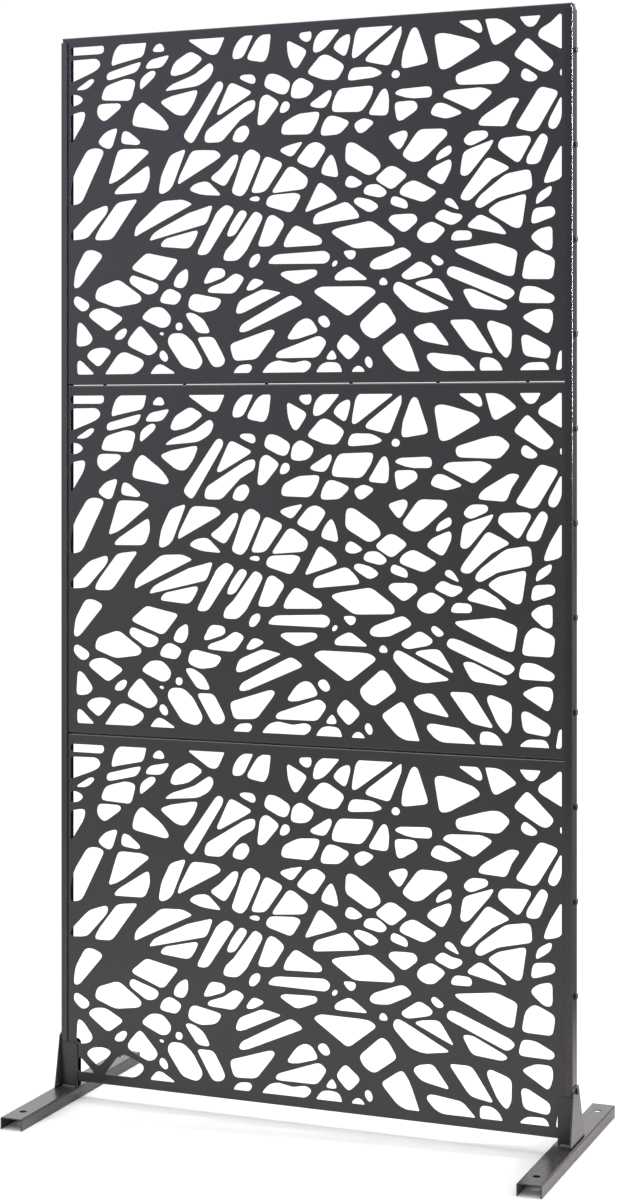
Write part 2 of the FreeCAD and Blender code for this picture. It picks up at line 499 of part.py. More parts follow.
def foot(side, sign):
    """Inverted channel across the screen, open at both ends, with an anchor hole near each."""
    body = new_body(f"{side}_foot_channel")
    outer = f"{sign} * ({POST_FACE} + sizes.foot_overhang)"
    inner = f"{sign} * ({POST_FACE} + sizes.foot_overhang - sizes.foot_width)"
    thick = f"{sign} * sizes.foot_sheet"
    top, under = "sizes.foot_height / 2", "(sizes.foot_height / 2 - sizes.foot_sheet)"
    profile = new_sketch(body, "XZ_Plane", f"{side}_foot_profile")
    outline(profile, (
        (outer, f"-{top}"), (outer, top), (inner, top), (inner, f"-{top}"),
        (f"{inner} + {thick}", f"-{top}"), (f"{inner} + {thick}", under),
        (f"{outer} - {thick}", under), (f"{outer} - {thick}", f"-{top}"),
    ))
    pad(body, profile, "sizes.foot_length", f"{side}_foot_bar", both_ways=True)
    roof, ceiling = value_of(top), value_of(under)
    fillet(body, f"{side}_foot_inner_bends", "sizes.foot_bend - sizes.foot_sheet",
           lambda edge: runs_along(edge, "y") and lies_at(edge, "z", ceiling))
    fillet(body, f"{side}_foot_bends", "sizes.foot_bend",
           lambda edge: runs_along(edge, "y") and lies_at(edge, "z", roof))

    anchors = new_sketch(body, "XY_Plane", f"{side}_anchor_outline")
    middle = f"{outer} - {sign} * sizes.foot_width / 2"
    for way in ("", "-"):
        along = f"{way}(sizes.foot_length / 2 - sizes.anchor_inset)"
        centre = FreeCAD.Vector(value_of(middle), value_of(along), 0)
        radius = value_of("sizes.anchor_hole / 2")
        ring = anchors.addGeometry(Part.Circle(centre, FreeCAD.Vector(0, 0, 1), radius))
        for kind, expression in (("DistanceX", middle), ("DistanceY", along)):
            bound = anchors.addConstraint(Sketcher.Constraint(kind, -1, 1, ring, 3, value_of(expression)))
            anchors.setExpression(f"Constraints[{bound}]", expression)
        bound = anchors.addConstraint(Sketcher.Constraint("Radius", ring, radius))
        anchors.setExpression(f"Constraints[{bound}]", "sizes.anchor_hole / 2")
    pocket(body, anchors, f"{side}_anchor_holes")
    place(body, z="sizes.foot_height / 2")
    return body


def gusset(side, sign):
    """Trapezoid plate on the outer face of the post's web, standing on the foot."""
    body = new_body(f"{side}_gusset_plate")
    floor, top = "sizes.foot_height", "(sizes.foot_height + sizes.gusset_rise)"
    profile = new_sketch(body, "YZ_Plane", f"{side}_gusset_outline")
    outline(profile, (
        ("-sizes.gusset_base / 2", floor), ("sizes.gusset_base / 2", floor),
        ("sizes.gusset_top / 2", top), ("-sizes.gusset_top / 2", top),
    ))
    pad(body, profile, "sizes.gusset_sheet", f"{side}_gusset_sheet", reverse=sign < 0)
    peak = value_of(top)
    fillet(body, f"{side}_gusset_corners", "sizes.gusset_corner",
           lambda edge: runs_along(edge, "x") and lies_at(edge, "z", peak))
    hole = new_sketch(body, "YZ_Plane", f"{side}_gusset_hole_outline")
    hexagon(hole, "-sizes.post_forward", f"{panel_bottom(0)} + {BOLT_PITCH} / 2", HOLE_ACROSS)
    pocket(body, hole, f"{side}_gusset_hole")
    place(body, x=f"{sign} * {POST_FACE}")
    return body


def cheek(side, sign, end, way, width):
    """Plate in the plane of the post's lip, standing on the foot, with its inner top corner rounded."""
    body = new_body(f"{side}_{end}_cheek")
    inner, outer = f"{sign} * ({POST_FACE} - {width})", f"{sign} * {POST_FACE}"
    profile = new_sketch(body, "XZ_Plane", f"{side}_{end}_cheek_outline")
    rectangle(profile, inner, outer, "sizes.foot_height", CHEEK_TOP)
    pad(body, profile, "sizes.cheek_sheet", f"{side}_{end}_cheek_sheet", reverse=way > 0)
    corner, peak = value_of(inner), value_of(CHEEK_TOP)
    fillet(body, f"{side}_{end}_cheek_corner", "sizes.cheek_corner",
           lambda edge: runs_along(edge, "y") and lies_at(edge, "x", corner) and lies_at(edge, "z", peak))
    place(body, y=f"{way} * ({POST_DEPTH} / 2 - sizes.cheek_sheet) - sizes.post_forward")
    return body


def foot_welds(side, sign, widths):
    """One quarter-round bead along the base of each cheek plate."""
    # A quarter cylinder laid along X, its flat sides facing -Y and -Z; the front one is turned to face +Y.
    along_x = FreeCAD.Rotation(FreeCAD.Vector(0, 1, 0), 90) * FreeCAD.Rotation(FreeCAD.Vector(0, 0, 1), 90)
    to_front = FreeCAD.Rotation(FreeCAD.Vector(1, 0, 0), 90)
    beads = []
    for (end, way), width in zip(ENDS, widths):
        bead = doc.addObject("Part::Cylinder", f"{side}_{end}_bead")
        bead.setExpression("Radius", "sizes.bead_leg")
        bead.setExpression("Height", f"{width} - 2 * sizes.bead_inset")
        bead.Angle = 90
        bead.Placement.Rotation = to_front * along_x if way < 0 else along_x
        start = f"-{POST_FACE}" if sign < 0 else f"{POST_FACE} - {width}"
        place(bead, x=f"{start} + sizes.bead_inset", y=f"{way} * {POST_DEPTH} / 2 - sizes.post_forward",
              z="sizes.foot_height")
        beads.append(bead)
    group = doc.addObject("Part::Compound", f"{side}_foot_welds")
    group.Links = beads
    return group


def side_bolt_row(name, sign, face, first, count):
    """Hexagon bolts along X whose heads lie on the given face, in a row up the post."""
    body = new_body(name)
    head = new_sketch(body, "YZ_Plane", f"{name}_head_outline")
    hexagon(head, "-sizes.post_forward", first, "sizes.head_across")
    heads = pad(body, head, "sizes.head_rise", f"{name}_head", reverse=sign < 0)
    shank = new_sketch(body, "YZ_Plane", f"{name}_shank_outline")
    hexagon(shank, "-sizes.post_forward", first, "sizes.bolt_size")
    grip = f"{face} - sizes.panel_width / 2 + sizes.panel_sheet + sizes.nut_rise + sizes.bolt_end"
    shanks = pad(body, shank, grip, f"{name}_shank", reverse=sign > 0)
    if count:
        row_of(body, [heads, shanks], "Z_Axis", count, BOLT_PITCH, f"{name}_row")
    place(body, x=f"{sign} * {face}")
    return body


def side_nut_row(name, sign, first, count):
    """Hexagon nuts on the inner face of a panel's side flange."""
    body = new_body(name)
    ring = new_sketch(body, "YZ_Plane", f"{name}_outline")
    hexagon(ring, "-sizes.post_forward", first, "sizes.head_across")
    hexagon(ring, "-sizes.post_forward", first, HOLE_ACROSS)
    nut = pad(body, ring, "sizes.nut_rise", f"{name}_nut", reverse=sign > 0)
    if count:
        row_of(body, [nut], "Z_Axis", count, BOLT_PITCH, f"{name}_row")
    place(body, x=f"{sign} * (sizes.panel_width / 2 - sizes.panel_sheet)")
    return body


def joint_bolt_row(name, level):
    """Bolts up through the flanges of one panel's top and the next panel's bottom."""
    body = new_body(name)
    first = f"{JOINT_PITCH} / 2 - sizes.panel_width / 2"
    head = new_sketch(body, "XY_Plane", f"{name}_head_outline")
    hexagon(head, first, "-sizes.post_forward", "sizes.head_across")
    heads = pad(body, head, "sizes.head_rise", f"{name}_head", reverse=True)
    shank = new_sketch(body, "XY_Plane", f"{name}_shank_outline")
    hexagon(shank, first, "-sizes.post_forward", "sizes.bolt_size")
    grip = "2 * sizes.panel_sheet + sizes.panel_gap + sizes.nut_rise + sizes.bolt_end"
    shanks = pad(body, shank, grip, f"{name}_shank")
    row_of(body, [heads, shanks], "X_Axis", "sizes.joint_bolts", JOINT_PITCH, f"{name}_row")
    place(body, z=f"{panel_bottom(level)} + sizes.panel_height - sizes.panel_sheet")
    return body


def joint_nut_row(name, level):
    """Nuts on the inner face of the bottom flange above a joint."""
    body = new_body(name)
    first = f"{JOINT_PITCH} / 2 - sizes.panel_width / 2"
    ring = new_sketch(body, "XY_Plane", f"{name}_outline")
    hexagon(ring, first, "-sizes.post_forward", "sizes.head_across")
    hexagon(ring, first, "-sizes.post_forward", HOLE_ACROSS)
    nut = pad(body, ring, "sizes.nut_rise", f"{name}_nut")
    row_of(body, [nut], "X_Axis", "sizes.joint_bolts", JOINT_PITCH, f"{name}_row")
    place(body, z=f"{panel_bottom(level + 1)} + sizes.panel_sheet")
    return body


pieces = []
tray = folded_tray()
cutters = pebble_cutters()
for level in range(len(LEVELS)):
    pieces.append(panel(level, tray, cutters))

# The bracket set of one side is the other one turned half round, so wide and narrow cheeks change places.
CHEEK_WIDTHS = {
    "left": ("sizes.cheek_wide", "sizes.cheek_narrow"),
    "right": ("sizes.cheek_narrow", "sizes.cheek_wide"),
}
for side, sign in SIDES:
    pieces.append(post(side, sign))
    pieces.append(foot(side, sign))
    pieces.append(gusset(side, sign))
    for (end, way), width in zip(ENDS, CHEEK_WIDTHS[side]):
        pieces.append(cheek(side, sign, end, way, width))
    pieces.append(foot_welds(side, sign, CHEEK_WIDTHS[side]))

    bracket_face = f"({POST_FACE} + sizes.gusset_sheet)"
    lowest = f"{panel_bottom(0)} + {BOLT_PITCH} / 2"
    pieces.append(side_bolt_row(f"{side}_bracket_bolt", sign, bracket_face, lowest, None))
    pieces.append(side_nut_row(f"{side}_bracket_nut", sign, lowest, None))
    for level, name in enumerate(LEVELS):
        first = f"{panel_bottom(level)} + {BOLT_PITCH} / 2"
        count = "sizes.side_bolts"
        if level == 0:
            first = f"{first} + {BOLT_PITCH}"
            count = "(sizes.side_bolts - 1)"
        pieces.append(side_bolt_row(f"{side}_{name}_bolts", sign, POST_FACE, first, count))
        pieces.append(side_nut_row(f"{side}_{name}_nuts", sign, first, count))
for level, name in enumerate(LEVELS[1:]):
    pieces.append(joint_bolt_row(f"{name}_joint_bolts", level))
    pieces.append(joint_nut_row(f"{name}_joint_nuts", level))

doc.recompute()
for item in doc.Objects:
    if {"Invalid", "Error"} & set(item.State):
        raise RuntimeError(f"{item.Name}: {item.State}")
os.makedirs("parts", exist_ok=True)
for piece in pieces:
    if piece.Shape.isNull() or not piece.Shape.isValid():
        raise RuntimeError(f"{piece.Name} has no valid shape")
    piece.Shape.exportStep(f"parts/{piece.Name}.step")
    print(piece.Name, len(piece.Shape.Solids), round(piece.Shape.Volume, 1))
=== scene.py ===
"""A free-standing room divider: perforated panels bolted between two channel posts on channel feet."""

import math

import bmesh
import bpy
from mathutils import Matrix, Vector


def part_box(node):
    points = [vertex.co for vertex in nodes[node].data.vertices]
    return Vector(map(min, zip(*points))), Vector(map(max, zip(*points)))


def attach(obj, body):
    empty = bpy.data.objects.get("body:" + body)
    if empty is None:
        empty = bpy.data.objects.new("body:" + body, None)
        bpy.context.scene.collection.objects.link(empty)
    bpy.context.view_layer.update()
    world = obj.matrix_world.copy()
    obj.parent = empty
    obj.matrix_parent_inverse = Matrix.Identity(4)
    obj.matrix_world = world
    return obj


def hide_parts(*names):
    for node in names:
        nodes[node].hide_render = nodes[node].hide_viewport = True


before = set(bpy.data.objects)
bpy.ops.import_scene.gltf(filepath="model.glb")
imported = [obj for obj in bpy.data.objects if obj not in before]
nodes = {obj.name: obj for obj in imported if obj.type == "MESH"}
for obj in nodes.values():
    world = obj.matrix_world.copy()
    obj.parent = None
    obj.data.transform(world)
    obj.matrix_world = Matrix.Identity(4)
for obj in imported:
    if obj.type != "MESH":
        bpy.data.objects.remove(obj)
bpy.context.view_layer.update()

MM = 0.001
UP = Vector((0, 0, 1))
ALONG = Vector((1, 0, 0))
LEVELS = ("lower", "middle", "upper")
SIDES = {"left": -1.0, "right": 1.0}

# Panels. This group and the next three hold sizes of the CAD nodes that their boxes don't tell.
PANEL_SHEET = 1.2 * MM
PANEL_BEND = 2.5 * MM
PANEL_PITCH = 600.0 * MM

# Posts, whose lips stop at the notch. Below it only a tongue of the web goes on down.
POST_SHEET = 1.5 * MM
POST_BEND = 2.5 * MM
REAR_LIP = 9.0 * MM
LIP_NOTCH = 98.0 * MM
TONGUE_HALF = 12.5 * MM

# Feet, and the plates and welds on them.
FOOT_SHEET = 2.0 * MM
FOOT_BEND = 3.0 * MM
ANCHOR_RADIUS = 6.0 * MM
ANCHOR_INSET = 40.0 * MM
GUSSET_TOP_HALF = 15.0 * MM
PLATE_CORNER = 8.0 * MM
BEAD_LEG = 3.0 * MM
BEAD_INSET = 3.0 * MM

# Bolts and nuts, all at one depth from front to back.
BOLT_LINE = -8.0 * MM
BOLT_RADIUS = 3.0 * MM
BOLT_END = 1.5 * MM
HOLE_RADIUS = 3.3 * MM
HEAD_ACROSS = 11.0 * MM
HEAD_RISE = 4.0 * MM
NUT_RISE = 5.0 * MM
SIDE_BOLTS = 4
JOINT_BOLTS = 6

# A post's lips have sprung open a little: how far they lean out, as a share of their reach.
LIP_SPRING = {"left": 0.065, "right": 0.015}

# Coated edges are rounded by a rim. Its middle lies in from either face by a share of its radius.
RIM = 0.22 * MM
GUSSET_RIM = 0.35 * MM
CHEEK_RIM = 0.3 * MM
RIM_MIDDLE = 0.293

# Corners of the plates that aren't well rounded are only eased.
PLATE_EASE = 0.8 * MM

# Faces that turn by more than this meet in a sharp edge.
SMOOTH_TURN = math.radians(34)

# Bends: the flat sheet drawn with each one, its steps, and what a panel's long flanges lack at each end.
LEAD = 0.8 * MM
FOLD_STEPS = 8
FLANGE_INSET = 0.3 * MM

# Outlines: the steps of an arc, the most that it takes of a side, and what counts as straight or the same.
ARC_STEP = math.radians(8)
CORNER_SHARE = 0.49
STRAIGHT_TURN = math.radians(1.5)
PARALLEL = 1e-3
FLAT = 0.01 * MM
SAME_PLACE = 1.0 * MM
KEY_DIGITS = 6

# The openings are drawn at even steps and smoothed, but for what lies on the pattern's border.
EASE_STEP = 1.5 * MM
EASE_ROUNDS = 38
EASE_PULL = 0.25
EASE_REGAIN = 0.2
BORDER_SLACK = 0.3 * MM
BORDER_HOLD = 2.0 * MM
BORDER_RADIUS = 1.6 * MM
SHARP_TURN = math.radians(110)
SHARP_POWER = 5

# Hexagons: the flat crown as a share of the apothem, the bore's chamfer as a share of the bore, the slope of
# the chamfer on top, and the share of that slope on the underside.
CROWN = 0.95
BORE_CHAMFER = 0.12
CHAMFER_SLOPE = math.tan(math.radians(28))
UNDERSIDE = 0.5
HEAD_SIDES = 72

# Threads: root and crest as shares of the bolt's radius, the shank's end as a share of the root, and the
# crest's start and end as shares of the pitch.
THREAD_PITCH = 1.0 * MM
THREAD_ROOT = 0.87
THREAD_CREST = 0.99
SHANK_TAPER = 0.95
CREST_START = 0.42
CREST_END = 0.58
SHANK_SIDES = 28

# Weld beads: ripples of the torch, and a slow wander as (share, radians per metre, phase).
BEAD_PITCH = 1.7 * MM
BEAD_STATIONS = 96
BEAD_SPOKES = 10
RIPPLE_DRIFT = 0.7
RIPPLE_DRIFT_RATE = 900.0
WANDER = ((0.10, 610.0, 1.3), (0.06, 1470.0, 0.0))
BEAD_BODY = 0.86
BEAD_RIPPLE = 0.10
BEAD_WANDER = 0.5
BEAD_TIP = 0.35
BEAD_RUN_UP = 2.0 * MM
BEAD_SAG = 0.14

# Spatter: drops set out by steady steps, smaller and fewer farther from the bead.
DROPS = 60
DROP_SIDES = 10
SPREAD_STEP = 0.618034
REACH_STEP = 0.754878
REACH_POWER = 1.6
DROP_REACH = 6.0 * MM
DROP_NEAR = 0.9 * MM
DROP_FADE = 0.5 * MM
DROP_MEAN = 0.6
DROP_SWING = 0.4
DROP_STEP = 5.1
DROP_RISE = 0.8
DROP_TURNS = (0.0, 0.5, 1.0, 1.4)


# Geometry


def left_of(direction):
    return Vector((-direction.y, direction.x))


def area(loop):
    return sum(a.x * b.y - a.y * b.x for a, b in zip(loop, loop[1:] + loop[:1])) / 2


def counter_clockwise(loop):
    return loop if area(loop) > 0 else loop[::-1]


def circle(x, y, radius, sides=40):
    turns = [2 * math.pi * k / sides for k in range(sides)]
    return [Vector((x + radius * math.cos(t), y + radius * math.sin(t))) for t in turns]


def rectangle(x0, y0, x1, y1):
    return [Vector((x0, y0)), Vector((x1, y0)), Vector((x1, y1)), Vector((x0, y1))]


def round_corners(points, radius_of):
    """The outline with an arc for each corner. radius_of(corner, turn) gives its radius, 0 for none."""
    outline = []
    for index, corner in enumerate(points):
        back = points[index - 1] - corner
        on = points[(index + 1) % len(points)] - corner
        turn = math.pi - back.angle(on)
        radius = radius_of(corner, turn)
        if turn < STRAIGHT_TURN or not radius:
            outline.append(corner)
            continue
        reach = radius * math.tan(turn / 2)
        reach = min(reach, CORNER_SHARE * back.length, CORNER_SHARE * on.length)
        radius = reach / math.tan(turn / 2)
        back.normalize()
        on.normalize()
        centre = corner + (back + on).normalized() * (radius / math.cos(turn / 2))
        spoke = corner + back * reach - centre
        way = 1.0 if back.x * on.y - back.y * on.x < 0 else -1.0
        steps = max(2, math.ceil(turn / ARC_STEP))
        for step in range(steps + 1):
            angle = way * turn * step / steps
            cos, sin = math.cos(angle), math.sin(angle)
            turned = Vector((spoke.x * cos - spoke.y * sin, spoke.x * sin + spoke.y * cos))
            outline.append(centre + turned)
    return outline


def shifted(loop, shifts):
    """The loop with each side moved to its left by its own shift."""
    ways = [(b - a).normalized() for a, b in zip(loop, loop[1:] + loop[:1])]
    moved = []
    for index, corner in enumerate(loop):
        one, two = left_of(ways[index - 1]), left_of(ways[index])
        first, second = shifts[index - 1], shifts[index]
        cross = one.x * two.y - one.y * two.x
        if abs(cross) < PARALLEL:
            moved.append(corner + two * max(first, second, key=abs))
        else:
            x = (first * two.y - second * one.y) / cross
            y = (second * one.x - first * two.x) / cross
            moved.append(corner + Vector((x, y)))
    return moved


def face(bm, corners, toward, smooth=False):
    """A face whose normal leans toward the given direction."""
    made = bm.faces.new(corners)
    made.normal_update()
    if made.normal.dot(toward) < 0:
        made.normal_flip()
    made.smooth = smooth


def fill(bm, rings, toward):
    """Flat faces between the first ring and the others inside it."""
    edges = []
    for ring in rings:
        for a, b in zip(ring, ring[1:] + ring[:1]):
            edges.append(bm.edges.get((a, b)) or bm.edges.new((a, b)))
    made = bmesh.ops.triangle_fill(bm, use_beauty=True, use_dissolve=False, edges=edges)
    for item in made["geom"]:
        if isinstance(item, bmesh.types.BMFace):
            item.smooth = False
            item.normal_update()
            if item.normal.dot(toward) < 0:
                item.normal_flip()


def add_plate(bm, outline, openings, place, thick, rim=RIM, joined=()):
    """A flat plate with rounded rims. place(u, v, depth) gives a point; joined sides get no edge."""
    soft = RIM_MIDDLE * rim
    levels = (
        (rim, 0.0),
        (soft, soft),
        (0.0, rim),
        (0.0, thick - rim),
        (soft, thick - soft),
        (rim, thick),
    )
    origin = place(0, 0, 0)
    through = place(0, 0, 1) - origin
    fronts, backs = [], []
    for number, loop in enumerate([outline] + list(openings)):
        loop = counter_clockwise(loop)
        count = len(loop)
        free = [number > 0 or side not in joined for side in range(count)]
        inward = 1.0 if number == 0 else -1.0
        rings = []
        for inset, level in levels:
            plan = shifted(loop, [inward * inset if edge else 0.0 for edge in free])
            rings.append([bm.verts.new(place(p.x, p.y, level)) for p in plan])
        for side in range(count):
            if not free[side]:
                continue
            other = (side + 1) % count
            away = left_of(loop[other] - loop[side]) * -inward
            away = place(away.x, away.y, 0) - origin
            for near, far in zip(rings, rings[1:]):
                face(bm, (near[side], near[other], far[other], far[side]), away, smooth=True)
        fronts.append(rings[0])
        backs.append(rings[-1])
    fill(bm, fronts, -through)
    fill(bm, backs, through)


def add_fold(bm, place, start, end, bend, thick):
    """The bend from a face into a flange. place(along, inward, depth) gives a point."""
    centre = place(0, bend, bend)
    angles = [math.pi / 2 * k / FOLD_STEPS for k in range(FOLD_STEPS + 1)]
    rows = {}
    for name, radius, offset in (("outer", bend, 0.0), ("inner", bend - thick, thick)):
        line = [(bend + LEAD, offset)]
        line += [(bend - radius * math.sin(a), bend - radius * math.cos(a)) for a in angles]
        line += [(offset, bend + LEAD)]
        rows[name] = [[bm.verts.new(place(along, a, d)) for a, d in line] for along in (start, end)]
        sign = 1.0 if name == "outer" else -1.0
        one, two = rows[name]
        for k in range(len(line) - 1):
            middle = place(0, (line[k][0] + line[k + 1][0]) / 2, (line[k][1] + line[k + 1][1]) / 2)
            face(bm, (one[k], one[k + 1], two[k + 1], two[k]), (middle - centre) * sign, smooth=True)
    along = place(1, 0, 0) - place(0, 0, 0)
    for number, way in ((0, start - end), (1, end - start)):
        outer, inner = rows["outer"][number], rows["inner"][number]
        for k in range(len(outer) - 1):
            face(bm, (outer[k], outer[k + 1], inner[k + 1], inner[k]), along * way)


def add_flange(bm, place, start, end, reach, bend, thick, openings=()):
    """A bend and the flat flange beyond it, with its bolt holes."""
    add_fold(bm, place, start, end, bend, thick)
    outline = rectangle(start, bend + LEAD, end, reach)
    bent_side = (0,)

    def flat(along, depth, inward):
        return place(along, inward, depth)

    add_plate(bm, outline, openings, flat, thick, joined=bent_side)


def across(axis):
    """Two directions square to an axis."""
    one = axis.orthogonal().normalized()
    return one, axis.cross(one).normalized()


def add_turned(bm, base, axis, rows, sides):
    """A skin over rows of (radius at an angle, height at an angle) functions, from the base outward."""
    one, two = across(axis)
    rings = []
    for radius_at, height_at in rows:
        ring = []
        for k in range(sides):
            t = 2 * math.pi * k / sides
            spoke = one * math.cos(t) + two * math.sin(t)
            ring.append(bm.verts.new(base + spoke * radius_at(t) + axis * height_at(t)))
        rings.append(ring)
    for near, far in zip(rings, rings[1:]):
        for k in range(sides):
            other = (k + 1) % sides
            made = bm.faces.new((near[k], near[other], far[other], far[k]))
            made.smooth = True
    return rings


def steady(value):
    return lambda t: value


def hexagon_radius(apothem):
    sector = math.pi / 3
    return lambda t: apothem / math.cos((t + sector / 2) % sector - sector / 2)


def add_hexagon(bm, base, axis, rise, bore=0.0):
    """A hexagon head or nut with chamfered corners; a nut has a bore, a head a flat top."""
    apothem = HEAD_ACROSS / 2 * math.cos(math.pi / 6)
    edge = hexagon_radius(apothem)
    crown = CROWN * apothem

    def top(t):
        return rise - (edge(t) - crown) * CHAMFER_SLOPE

    def bottom(t):
        return (edge(t) - crown) * CHAMFER_SLOPE * UNDERSIDE

    rows = [
        (steady(crown), steady(0.0)),
        (edge, bottom),
        (edge, top),
        (steady(crown), steady(rise)),
    ]
    if bore:
        chamfer = bore * BORE_CHAMFER
        rows += [
            (steady(bore + chamfer), steady(rise)),
            (steady(bore), steady(rise - chamfer)),
            (steady(bore), steady(0.0)),
        ]
    rings = add_turned(bm, base, axis, rows, HEAD_SIDES)
    if not bore:
        bm.faces.new(rings[-1])


def add_thread(bm, base, axis, length):
    """A bolt's shank, with its thread drawn as rings and its end chamfered."""
    root, crest = BOLT_RADIUS * THREAD_ROOT, BOLT_RADIUS * THREAD_CREST
    count = int(length / THREAD_PITCH)
    pitch = length / count
    rows = []
    for k in range(count):
        low = length * k / count
        rows.append((steady(root), steady(low)))
        rows.append((steady(crest), steady(low + CREST_START * pitch)))
        rows.append((steady(crest), steady(low + CREST_END * pitch)))
    rows.append((steady(root * SHANK_TAPER), steady(length)))
    rings = add_turned(bm, base, axis, rows, SHANK_SIDES)
    bm.faces.new(rings[-1])


def add_bead(bm, base, out, length):
    """A weld run in the corner between a plate and the foot, with the ripples of the torch."""
    rows = []
    for s in range(BEAD_STATIONS + 1):
        x = length * s / BEAD_STATIONS
        drift = RIPPLE_DRIFT * math.sin(x * RIPPLE_DRIFT_RATE)
        ripple = abs(math.sin(math.pi * x / BEAD_PITCH + drift))
        wander = sum(share * math.sin(x * rate + phase) for share, rate, phase in WANDER)
        ends = min(1.0, BEAD_TIP + min(x, length - x) / BEAD_RUN_UP)
        size = BEAD_LEG * ends * (BEAD_BODY + BEAD_RIPPLE * ripple + BEAD_WANDER * wander)
        row = []
        for k in range(BEAD_SPOKES + 1):
            t = math.pi / 2 * k / BEAD_SPOKES
            swell = 1.0 - BEAD_SAG * math.sin(2 * t)
            step = out * (size * math.cos(t) * swell) + UP * (size * math.sin(t) * swell)
            row.append(bm.verts.new(base + ALONG * x + step))
        rows.append(row)
    for near, far in zip(rows, rows[1:]):
        for k in range(BEAD_SPOKES):
            face(bm, (near[k], near[k + 1], far[k + 1], far[k]), out + UP, smooth=True)
    for row, way in ((rows[0], -ALONG), (rows[-1], ALONG)):
        middle = bm.verts.new(row[0].co - out * (row[0].co - base).dot(out))
        for k in range(BEAD_SPOKES):
            face(bm, (row[k], row[k + 1], middle), way)


def add_spatter(bm, base, out, length):
    """Drops thrown from the weld onto the foot."""
    for k in range(DROPS):
        spread = (SPREAD_STEP * k) % 1.0
        reach = ((REACH_STEP * k) % 1.0) ** REACH_POWER
        size = (DROP_NEAR - DROP_FADE * reach) * (DROP_MEAN + DROP_SWING * math.sin(DROP_STEP * k))
        middle = base + ALONG * (length * spread) + out * (BEAD_LEG + DROP_REACH * reach)
        rows = []
        for t in DROP_TURNS:
            rows.append((steady(size * math.cos(t)), steady(size * DROP_RISE * math.sin(t))))
        rings = add_turned(bm, middle, UP, rows, DROP_SIDES)
        bm.faces.new(rings[-1])


def piece(bm, name, material, slot, *replaced):
    """The finished mesh as an object that stands for its CAD nodes."""
    for edge in bm.edges:
        if len(edge.link_faces) == 2 and edge.calc_face_angle(0) > SMOOTH_TURN:
            edge.smooth = False
    mesh = bpy.data.meshes.new(name)
    bm.to_mesh(mesh)
    bm.free()
    mesh.materials.append(material)
    made = bpy.data.objects.new(name, mesh)
    bpy.context.scene.collection.objects.link(made)
    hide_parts(*replaced)
    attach(made, "root")


# Shader nodes


def node(tree, kind, **values):
    """A shader node with its properties and input values set by name."""
    made = tree.nodes.new(kind)
    for key, value in values.items():
        if key in made.inputs:
            made.inputs[key].default_value = value
        else:
            setattr(made, key, value)
    return made


def feed(tree, socket, value):
    """Link a socket to another one, or set it to a plain number or colour."""
    if isinstance(value, bpy.types.NodeSocket):
        tree.links.new(value, socket)
    elif isinstance(value, tuple):
        socket.default_value = (*value, 1.0)
    else:
        socket.default_value = value


def split(tree, vector):
    """The X, Y and Z of a vector."""
    made = node(tree, "ShaderNodeSeparateXYZ")
    tree.links.new(vector, made.inputs["Vector"])
    return made.outputs


def maths(tree, operation, *values):
    made = node(tree, "ShaderNodeMath", operation=operation)
    for socket, value in zip(made.inputs, values):
        feed(tree, socket, value)
    return made.outputs["Value"]


def ramp(tree, source, low, high, out_low=0.0, out_high=1.0):
    """A value carried from one range to another and held at the ends."""
    made = node(tree, "ShaderNodeMapRange")
    tree.links.new(source, made.inputs["Value"])
    for key, value in (("From Min", low), ("From Max", high), ("To Min", out_low), ("To Max", out_high)):
        made.inputs[key].default_value = value
    return made.outputs["Result"]


def mix(tree, factor, one, two, blend="MIX"):
    """Two colours blended; the factor and the colours may be sockets or plain values."""
    made = node(tree, "ShaderNodeMix", data_type="RGBA", blend_type=blend)
    feed(tree, made.inputs["Factor"], factor)
    colours = [socket for socket in made.inputs if socket.type == "RGBA"]
    for socket, value in zip(colours, (one, two)):
        feed(tree, socket, value)
    return next(socket for socket in made.outputs if socket.type == "RGBA")


def choose(tree, factor, one, two):
    """The first shader where the factor is 0, and the second where it is 1."""
    made = node(tree, "ShaderNodeMixShader")
    for socket, source in zip(made.inputs, (factor, one, two)):
        tree.links.new(source, socket)
    return made.outputs["Shader"]


def gradient(tree, source, low, high, stops):
    """Colours blended along a value, from (value, colour) stops between low and high."""
    made = node(tree, "ShaderNodeValToRGB")
    tree.links.new(ramp(tree, source, low, high), made.inputs["Fac"])
    marks = made.color_ramp.elements
    while len(marks) > 1:
        marks.remove(marks[-1])
    for number, (value, colour) in enumerate(stops):
        position = (value - low) / (high - low)
        mark = marks.new(position) if number else marks[0]
        mark.position = position
        mark.color = (*colour, 1.0)
    return made.outputs["Color"]


def noise(tree, place, scale, detail, rough=0.5):
    made = node(tree, "ShaderNodeTexNoise", Scale=scale, Detail=detail, Roughness=rough)
    tree.links.new(place, made.inputs["Vector"])
    return made.outputs["Fac"]


def bump(tree, height, strength, distance):
    made = node(tree, "ShaderNodeBump", Strength=strength, Distance=distance)
    tree.links.new(height, made.inputs["Height"])
    return made


def new_material(name):
    """A material, with its node tree, its shader and the object's own coordinates."""
    material = bpy.data.materials.new(name)
    material.use_nodes = True
    tree = material.node_tree
    place = node(tree, "ShaderNodeTexCoord").outputs["Object"]
    return material, tree, tree.nodes["Principled BSDF"], place


# Materials

# Powder coat: for each noise its scale per metre, its detail, and the band of it that acts.
NOISE_ROUGHNESS = 0.55
CLOUD = (2.3, 4.0)
CLOUD_BAND = (0.3, 0.7)
FLECK = (900.0, 2.0)
FLECK_BAND = (0.52, 0.72)
FLECK_GAIN = 1.9
GLOSS = (30.0, 4.0)
GLOSS_BAND = (0.25, 0.75)
GLOSS_SWING = 0.02
PEEL_FINE = (1500.0, 2.0)
PEEL_FINE_DEPTH = 0.02 * MM
PEEL_WIDE = (260.0, 2.0)
PEEL_WIDE_DEPTH = 0.04 * MM

